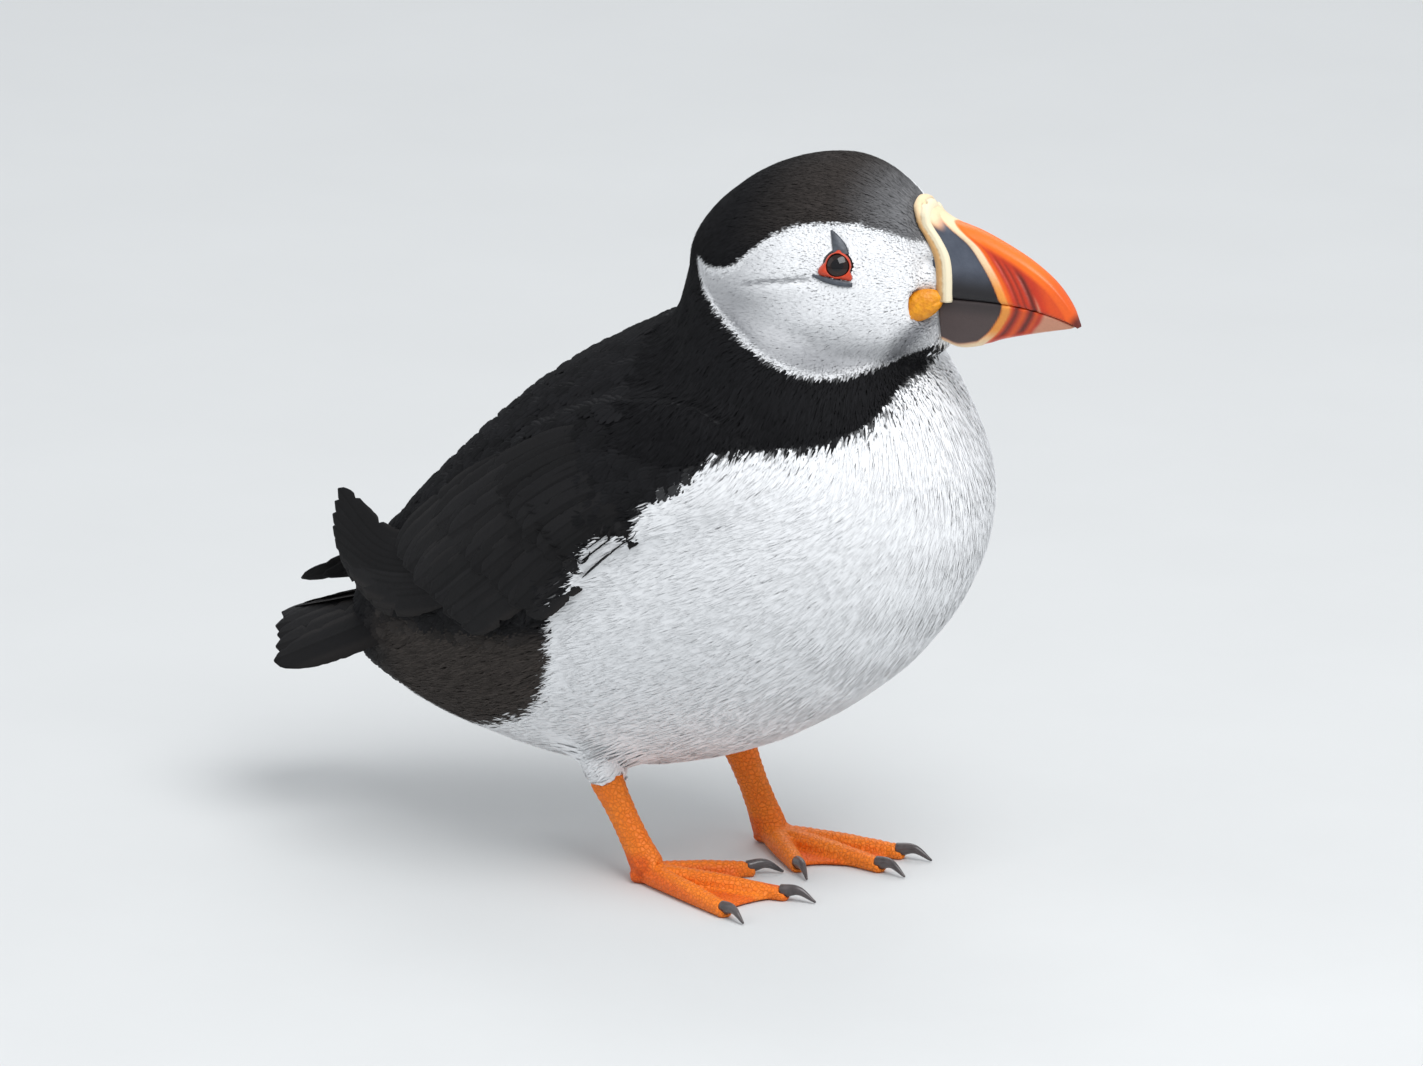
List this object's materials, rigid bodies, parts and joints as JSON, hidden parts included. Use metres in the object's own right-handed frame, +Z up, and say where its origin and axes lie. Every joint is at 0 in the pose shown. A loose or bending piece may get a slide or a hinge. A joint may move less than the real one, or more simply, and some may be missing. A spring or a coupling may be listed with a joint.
{
  "type": "atlantic puffin model",
  "caption": "Life-size still model of an Atlantic puffin in breeding plumage, standing on its webbed feet with folded wings and a deep, grooved bill.",
  "frame": {"origin": "middle of the bird's bounding box, on the floor under the feet", "axes": "+X the way the bird faces, +Y its left side, +Z up"},
  "size_m": [0.2272, 0.0938, 0.1898],
  "materials": {
    "plumage_black": "brownish-black feathers with a soft sheen",
    "plumage_white": "matte white feathers",
    "plumage_grey": "matte pale grey face feathers",
    "bill_cere": "satin pale yellow horn",
    "bill_slate": "satin slate blue horn",
    "bill_red": "satin orange-red horn with grooves",
    "gape_rosette": "wrinkled soft yellow skin",
    "eye": "wet dark gloss",
    "orbital_ring": "bare red skin",
    "eye_plate": "satin blue-grey horn",
    "foot_skin": "vivid orange scaly skin, satin",
    "claw": "dark horn, satin"
  },
  "bodies": {
    "root": {"trunk": "plumage_white", "rump": "plumage_black", "neck": "plumage_black", "head": "plumage_grey", "tail": "plumage_black", "eye_right": "eye", "eye_ring_right": "orbital_ring", "eye_horn_right": "eye_plate", "eye_slip_right": "eye_plate", "rosette_right": "gape_rosette", "eye_left": "eye", "eye_ring_left": "orbital_ring", "eye_horn_left": "eye_plate", "eye_slip_left": "eye_plate", "rosette_left": "gape_rosette", "bill_cere": "bill_cere", "bill_upper_plate": "bill_slate", "bill_upper_tip": "bill_red", "bill_lower_plate": "bill_slate", "bill_lower_tip": "bill_red", "wing_right_arm": "plumage_black", "wing_right_hand": "plumage_black", "wing_left_arm": "plumage_black", "wing_left_hand": "plumage_black", "thigh_right": "plumage_white", "tarsus_right": "foot_skin", "toe_right_inner": "foot_skin", "claw_right_inner": "claw", "toe_right_middle": "foot_skin", "claw_right_middle": "claw", "toe_right_outer": "foot_skin", "claw_right_outer": "claw", "web_right_inner": "foot_skin", "web_right_outer": "foot_skin", "thigh_left": "plumage_white", "tarsus_left": "foot_skin", "toe_left_inner": "foot_skin", "claw_left_inner": "claw", "toe_left_middle": "foot_skin", "claw_left_middle": "claw", "toe_left_outer": "foot_skin", "claw_left_outer": "claw", "web_left_inner": "foot_skin", "web_left_outer": "foot_skin"}
  },
  "joints": []
}
